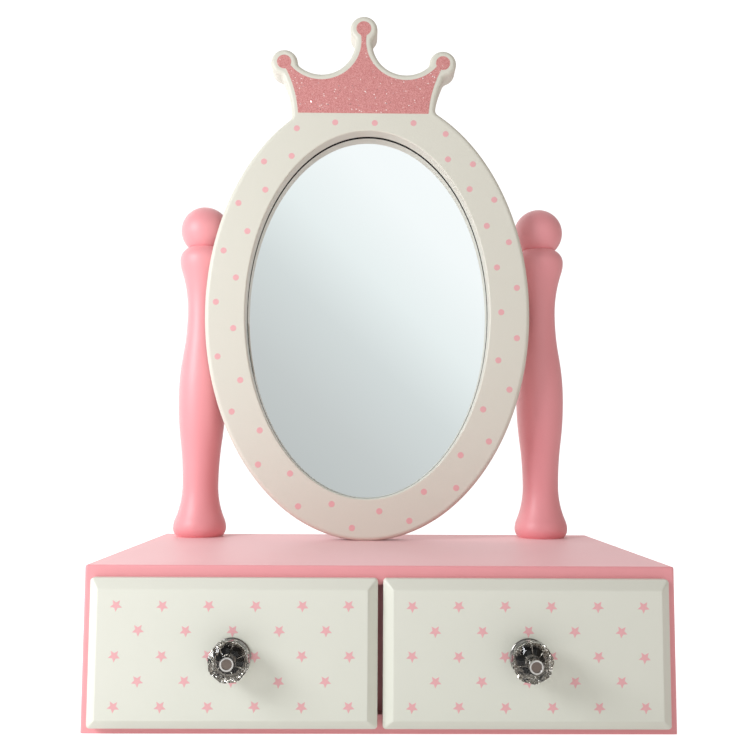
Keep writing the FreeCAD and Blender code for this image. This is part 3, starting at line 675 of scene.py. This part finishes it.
def dotPrint():
    # a zigzag all round the board, in shares of the rim's length from the right: every second dot
    # lies further in. Its spacing is a little tighter low on the left. Three more dots stand in a
    # row under the crown.
    look = dotLook
    low, high = boxOf("mirror_frame")[:2]
    centre = boxOf("mirror_glass")[2]
    wide = (high[0] - low[0]) / 2
    tall = centre[2] - low[2]
    fine = np.linspace(0, 2 * math.pi, look["rimSteps"])
    step = np.hypot(np.diff(wide * np.cos(fine)), np.diff(tall * np.sin(fine)))
    along = np.concatenate([[0], np.cumsum(step)])
    part = np.linspace(0, 1, look["count"])
    share = look["first"] + (look["last"] - look["first"]) * part
    share += look["bow"] * np.sin(math.pi * part) - look["skew"] * np.sin(2 * math.pi * part)
    gap = np.where(np.arange(look["count"]) % 2 == 0, look["outerGap"], look["innerGap"])
    angle = np.interp(share % 1 * along[-1], along, fine)
    slope = np.hypot(tall * np.cos(angle), wide * np.sin(angle))
    x = centre[0] + wide * np.cos(angle) - gap * tall * np.cos(angle) / slope
    z = centre[2] + tall * np.sin(angle) - gap * wide * np.sin(angle) / slope
    row = np.arange(look["topCount"]) - (look["topCount"] - 1) / 2
    x = np.append(x, centre[0] + look["topShift"] + row * look["topReach"])
    z = np.append(z, np.full(len(row), centre[2] + tall - look["topDrop"]))
    x = x + rng.normal(0, look["drift"], len(x))
    z = z + rng.normal(0, look["drift"], len(z))
    around = np.linspace(0, 2 * math.pi, look["corners"], endpoint=False)
    x = x[:, None] + look["radius"] * np.cos(around)
    z = z[:, None] + look["radius"] * np.sin(around)
    flatPrint("dot_print", x, z, low[1], look["raise"], "cabinet")


dotPrint()
print("prints ready")

# Glitter field of the crown
# Millimetres sideways from the crown's middle and up from its tip. Each ball and each hollow arc
# of the crown's edge is sideways, up and radius.
fieldLook = {
    "shift": -3.5, "margin": 4.2, "base": -66.2, "topBall": (0, -9, 9),
    "sideBall": (51.9, -32, 8.8), "valley": (27.7, -17.5, 22), "flank": (116.5, -70.8, 70),
    "reach": 60, "drop": 68, "cell": 0.5, "pulls": 6, "probe": 0.01, "leastSlope": 0.2,
    "raise": 0.1, "thickness": 0.15,
}


def away(x, z, disc):
    return np.hypot(x - disc[0], z - disc[1])


def fieldDistance(x, z):
    # below zero inside the field: three discs inside the balls, and a sheet between them that
    # keeps one margin from each hollow arc of the crown
    look = fieldLook
    margin = look["margin"]
    x = np.abs(x)
    hollows = [look[name][2] + margin - away(x, z, look[name]) for name in ("valley", "flank")]
    ceiling = np.where(x > look["valley"][0], look["sideBall"][1], look["topBall"][1])
    sheet = np.maximum.reduce(hollows + [z - ceiling, look["base"] - z])
    discs = [away(x, z, look[name]) - look[name][2] + margin for name in ("topBall", "sideBall")]
    return np.minimum.reduce([sheet] + discs)


def fieldOrigin():
    # the crown's tip on the board's face, above the middle of the field
    low, high = boxOf("mirror_frame")[:2]
    return np.array([boxOf("mirror_glass")[2][0] + fieldLook["shift"], low[1], high[2]])


def glitterField():
    # a square net over the field; its outer knots are pulled on to the outline, x - gap * slope /
    # slope^2, where the gap is the field's distance and the slope its rate of change
    look = fieldLook
    cell, probe = look["cell"], look["probe"]
    x, z = np.meshgrid(np.arange(-look["reach"], look["reach"] + cell / 2, cell),
                       np.arange(-look["drop"], cell / 2, cell))
    kept = fieldDistance(x[:-1, :-1] + cell / 2, z[:-1, :-1] + cell / 2) < 0
    filled = np.pad(kept, 1).astype(int)
    around = filled[:-1, :-1] + filled[1:, :-1] + filled[:-1, 1:] + filled[1:, 1:]
    rim = (around > 0) & (around < 4)
    for _ in range(look["pulls"]):
        gap = fieldDistance(x, z)
        slopeX = (fieldDistance(x + probe, z) - gap) / probe
        slopeZ = (fieldDistance(x, z + probe) - gap) / probe
        steep = np.maximum(slopeX ** 2 + slopeZ ** 2, look["leastSlope"])
        x = np.where(rim, x - gap * slopeX / steep, x)
        z = np.where(rim, z - gap * slopeZ / steep, z)
    knot = np.arange(x.size).reshape(x.shape)
    row, column = np.nonzero(kept)
    corners = [knot[row, column], knot[row, column + 1],
               knot[row + 1, column + 1], knot[row + 1, column]]
    used, quads = np.unique(np.stack(corners, -1), return_inverse=True)
    quads = quads.reshape(-1, 4)
    x, z = x.ravel()[used], z.ravel()[used]
    front = np.stack([x, np.full_like(x, -look["raise"]), z], -1) + fieldOrigin()
    back = front + np.array([0, look["thickness"], 0])
    edges = np.concatenate([quads[:, [step, (step + 1) % 4]] for step in range(4)])
    code = edges.min(1) * len(used) + edges.max(1)
    single, times = np.unique(code, return_counts=True)
    outer = edges[np.isin(code, single[times == 1])]
    count = len(used)
    walls = np.stack([outer[:, 1], outer[:, 0], outer[:, 0] + count, outer[:, 1] + count], -1)
    faces = np.concatenate([quads, quads[:, ::-1] + count, walls]).tolist()
    meshPiece("crown_glitter", np.vstack([front, back]), faces, "glitterPaint", "cabinet")


flakeLook = {
    "count": 46, "size": 0.26, "sizeRange": (0.6, 1.3), "tilt": 0.22, "lift": 0.2,
    "thickness": 0.05, "corners": 6, "tries": 6000, "low": (-44, -66), "high": (44, -18),
    "inside": 0.5, "fade": 26, "sparseFrom": 8, "sparseShare": 0.35,
}


def looseFlakes():
    # small tilted hexagons scattered over the field, denser low down and to the left: a spot is
    # kept with the chance exp(-rise / fade), times the sparse share on the right
    look = flakeLook
    spots = rng.uniform(look["low"], look["high"], (look["tries"], 2))
    chance = np.exp(-(spots[:, 1] - look["low"][1]) / look["fade"])
    chance = chance * np.where(spots[:, 0] < look["sparseFrom"], 1.0, look["sparseShare"])
    inside = fieldDistance(spots[:, 0], spots[:, 1]) < -look["inside"]
    spots = spots[inside & (rng.uniform(0, 1, len(spots)) < chance)][:look["count"]]
    count = len(spots)
    around = np.arange(look["corners"]) * 2 * math.pi / look["corners"]
    angle = around + rng.uniform(0, math.pi, count)[:, None]
    size = look["size"] * rng.uniform(*look["sizeRange"], count)[:, None]
    tiltX, tiltZ = rng.normal(0, look["tilt"], (2, count, 1))
    x, z = size * np.cos(angle), size * np.sin(angle)
    y = tiltX * x + tiltZ * z - look["lift"]
    outlines = np.stack([spots[:, :1] + x, y, spots[:, 1:] + z], -1) + fieldOrigin()
    thinPlates("crown_flakes", outlines, look["thickness"], "flakeFoil", "cabinet")


glitterField()
looseFlakes()
print("crown ready")

# Knobs
# Radii, and heights from the back. Each side of the crystal has four stations: the groove at its
# corner, one edge, the middle and the other edge.
cutLook = {
    "sides": 8, "grooveWidth": 0.2, "grooveDepth": 0.7, "girdle": (3.6, 8.7),
    "face": [5.6, 6.4, 6.9, 6.4], "faceDrop": 1.3, "backSpread": 1.08, "backRise": 1.6,
    "backRim": 6.2, "collar": 3.7, "bore": 2.9, "phase": {"left": 6.0, "right": -14.0},
}


def crystal(side):
    # a drum of flat sides, r = inner / cos a, with a narrow groove down each corner, and facets
    # that slope in at both ends
    look = cutLook
    low, high = boxOf(side + "_knob_crystal")[:2]
    cap = boxOf(side + "_knob_cap")[2]
    deep = high[1] - low[1]
    inner = (high[0] - low[0]) / 2
    half = math.pi / look["sides"]
    edge = half * (1 - look["grooveWidth"])
    stations = np.array([-half, -edge, 0, edge])
    drum = inner / np.cos(stations)
    drum[0] -= look["grooveDepth"]
    face = np.array(look["face"])
    rings = [(look["bore"], 0), (look["backRim"], 0),
             (face * look["backSpread"], look["backRise"]),
             (drum, look["girdle"][0]), (drum, look["girdle"][1]),
             (face, deep - look["faceDrop"]), (look["collar"], deep), (look["bore"], deep)]
    angle = (np.arange(look["sides"])[:, None] * 2 * half + stations).ravel()
    angle = angle + math.radians(look["phase"][side])
    count = len(angle)
    radius = np.stack([np.tile(np.broadcast_to(ring, len(stations)), look["sides"])
                       for ring, depth in rings])
    depth = np.repeat(np.array([depth for ring, depth in rings])[:, None], count, 1)
    points = np.stack([radius * np.cos(angle), -depth, radius * np.sin(angle)], -1)
    points = points.reshape(-1, 3) + np.array([cap[0], high[1], cap[2]])
    ring, after = ringPairs(count)
    lastRow = (len(rings) - 1) * count
    bore = np.stack([ring + lastRow, after + lastRow, after, ring], -1).tolist()
    piece = meshPiece(side + "_cut_crystal", points, gridFaces(len(rings), count) + bore,
                      "clearAcrylic", side + "_drawer")
    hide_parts(side + "_knob_crystal")


# Profile points are radius and distance, from the piece's back or from its front.
baseLook = {
    "finish": "darkChrome", "turns": 96,
    "fromBack": [(2.2, 0), (8.7, 0), (9.0, 0.25), (9.0, 0.8), (8.6, 1.15), (7.2, 1.35),
                 (5.4, 1.5), (4.8, 1.8), (4.6, 2.2)],
    "fromFront": [(4.6, 0), (2.2, 0)],
}
capLook = {
    "finish": "chrome", "turns": 96,
    "fromBack": [(2.1, 0), (2.7, 0), (2.7, 4.9), (3.0, 4.9), (3.2, 5.1)],
    "fromFront": [(3.2, 0.3), (3.12, 0.08), (2.85, 0), (2.5, 0.02), (2.34, 0.2), (2.3, 0.62),
                  (0.001, 0.66)],
}
dishLook = {
    "finish": "dishMetal", "turns": 64, "fromBack": [],
    "fromFront": [(0.001, 0.7), (2.28, 0.7), (2.28, 0.56), (1.6, 0.5), (0.8, 0.47),
                  (0.001, 0.46)],
}


def knobMetal(side, name, node, look):
    low, high, middle = boxOf(side + node)
    deep = high[1] - low[1]
    profile = look["fromBack"] + [(radius, deep - drop) for radius, drop in look["fromFront"]]
    radius, height = zip(*profile)
    return lathe(side + name, radius, height, look["turns"], (middle[0], high[1], middle[2]),
                 look["finish"], side + "_drawer", "-y")


for side in sides:
    crystal(side)
    base = knobMetal(side, "_turned_base", "_knob_base", baseLook)
    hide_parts(side + "_knob_base")
    cap = knobMetal(side, "_ring_cap", "_knob_cap", capLook)
    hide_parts(side + "_knob_cap")
    knobMetal(side, "_cap_dish", "_knob_cap", dishLook)
print("knobs ready")

# Floor, room, light and camera
stageLook = {"reach": 1400, "drop": 0.2, "corners": 96, "glow": 0.8, "bounce": 0.24,
             "paper": (0.76, 0.8), "paperScale": 400.0, "paperDetail": 3.0, "roughness": 0.9}


def floor():
    # a disc of paper; the camera sees it glow brighter than the light it throws back
    look = stageLook
    material, tree, shader, place = newMaterial("floorPaper")
    fine = noise(tree, place, look["paperScale"], look["paperDetail"])
    link(tree, mapRange(tree, fine, 0.0, 1.0, *look["paper"]), shader.inputs["Base Color"])
    setSockets(shader, {"Roughness": look["roughness"], "Emission Color": (1, 1, 1, 1)})
    seen = addNode(tree, "ShaderNodeLightPath").outputs["Is Camera Ray"]
    glow = mapRange(tree, seen, 0.0, 1.0, look["bounce"], look["glow"])
    link(tree, glow, shader.inputs["Emission Strength"])
    angle = np.linspace(0, 2 * math.pi, look["corners"], endpoint=False)
    points = np.stack([look["reach"] * np.cos(angle), look["reach"] * np.sin(angle),
                       np.full_like(angle, -look["drop"])], -1)
    piece = addMesh("floor", points, [list(range(look["corners"]))], material)


# The sweep is what the mirror sees, from low on the left to high on the right.
worldLook = {
    "left": (0.60, 0.61, 0.61), "right": (0.56, 0.50, 0.43), "acrossRange": (-0.7, 0.7),
    "above": 0.45, "aboveRange": (0.0, 0.7),
    "backLeft": (1.65, 1.55, 1.55), "backRight": (0.38, 0.28, 0.27), "behindRange": (-0.1, 0.4),
    "coneOuter": 0.74, "coneInner": 0.88, "slant": 0.95, "slantRange": (-0.1, 0.4),
    "sweep": [(0.0, (0.535, 0.56, 0.555)), (0.2, (0.60, 0.625, 0.62)), (0.42, (0.70, 0.74, 0.735)),
              (0.6, (0.86, 0.91, 0.905)), (0.8, (0.97, 1.0, 1.0)), (1.0, (1.0, 1.02, 1.02))],
    "backdrop": (1.15, 1.15, 1.15),
}


def makeWorld():
    # white behind the object; what the mirror and the paint see is a pale room, brighter up and
    # to the right within a cone in front of the mirror
    look = worldLook
    world = bpy.data.worlds.new("studio")
    bpy.context.scene.world = world
    world.use_nodes = True
    tree = world.node_tree
    tree.nodes.clear()
    way = addNode(tree, "ShaderNodeTexCoord").outputs["Generated"]
    x, y, z = addNode(tree, "ShaderNodeSeparateXYZ", {"Vector": way}).outputs
    across = mapRange(tree, x, *look["acrossRange"])
    front = mixColor(tree, across, solid(look["left"]), solid(look["right"]))
    above = mapRange(tree, z, *look["aboveRange"], 1.0, look["above"])
    front = mixColor(tree, 1.0, front, above, "MULTIPLY")
    rear = mixColor(tree, across, solid(look["backLeft"]), solid(look["backRight"]))
    around = mixColor(tree, mapRange(tree, y, *look["behindRange"]), front, rear)
    slant = calculate(tree, "MULTIPLY_ADD", x, look["slant"], z)
    ramp = addNode(tree, "ShaderNodeValToRGB", {"Fac": mapRange(tree, slant, *look["slantRange"])})
    stops = ramp.color_ramp.elements
    while len(stops) < len(look["sweep"]):
        stops.new(0.5)
    for stop, (position, color) in zip(stops, look["sweep"]):
        stop.position = position
        stop.color = solid(color)
    cone = mapRange(tree, y, -look["coneOuter"], -look["coneInner"])
    room = mixColor(tree, cone, around, ramp.outputs["Color"])
    seen = addNode(tree, "ShaderNodeLightPath").outputs["Is Camera Ray"]
    color = mixColor(tree, seen, room, solid(look["backdrop"]))
    glow = addNode(tree, "ShaderNodeBackground", {"Color": color})
    outward = tree.nodes.new("ShaderNodeOutputWorld")
    link(tree, glow.outputs[0], outward.inputs["Surface"])


keyLook = {"spot": (-0.60, -0.42, 0.40), "target": (0.06, 0, -0.30), "size": 0.30, "power": 3.85,
           "color": (0.94, 0.97, 1.0)}


def keyLight():
    look = keyLook
    light = bpy.data.lights.new("keyLight", "AREA")
    light.shape = "SQUARE"
    light.size = look["size"]
    light.energy = look["power"]
    light.color = look["color"]
    holder = addObject("keyLight", light)
    holder.location = look["spot"]
    aim = Vector(look["target"]) - Vector(look["spot"])
    holder.rotation_euler = aim.to_track_quat("-Z", "Y").to_euler()


cameraLook = {"spot": (-0.00729, -0.54464, 0.13162), "pitch": 4.872, "yaw": 0.674, "roll": 0.294,
              "lens": 44.158, "sensor": 36, "near": 0.01}


def makeCamera():
    look = cameraLook
    pitch, yaw, roll = (math.radians(look[name]) for name in ("pitch", "yaw", "roll"))
    forward = Vector((math.sin(yaw) * math.cos(pitch), math.cos(yaw) * math.cos(pitch),
                      math.sin(pitch)))
    level = Vector((math.cos(yaw), -math.sin(yaw), 0))
    upward = level.cross(forward)
    right = math.cos(roll) * level + math.sin(roll) * upward
    upward = -math.sin(roll) * level + math.cos(roll) * upward
    data = bpy.data.cameras.new("camera")
    data.sensor_width = look["sensor"]
    data.lens = look["lens"]
    data.clip_start = look["near"]
    holder = addObject("camera", data)
    turn = Matrix((right, upward, -forward)).transposed().to_4x4()
    holder.matrix_world = Matrix.Translation(look["spot"]) @ turn
    bpy.context.scene.camera = holder


floor()
makeWorld()
keyLight()
makeCamera()
bpy.context.scene.view_settings.view_transform = "Standard"
print("light and camera ready")
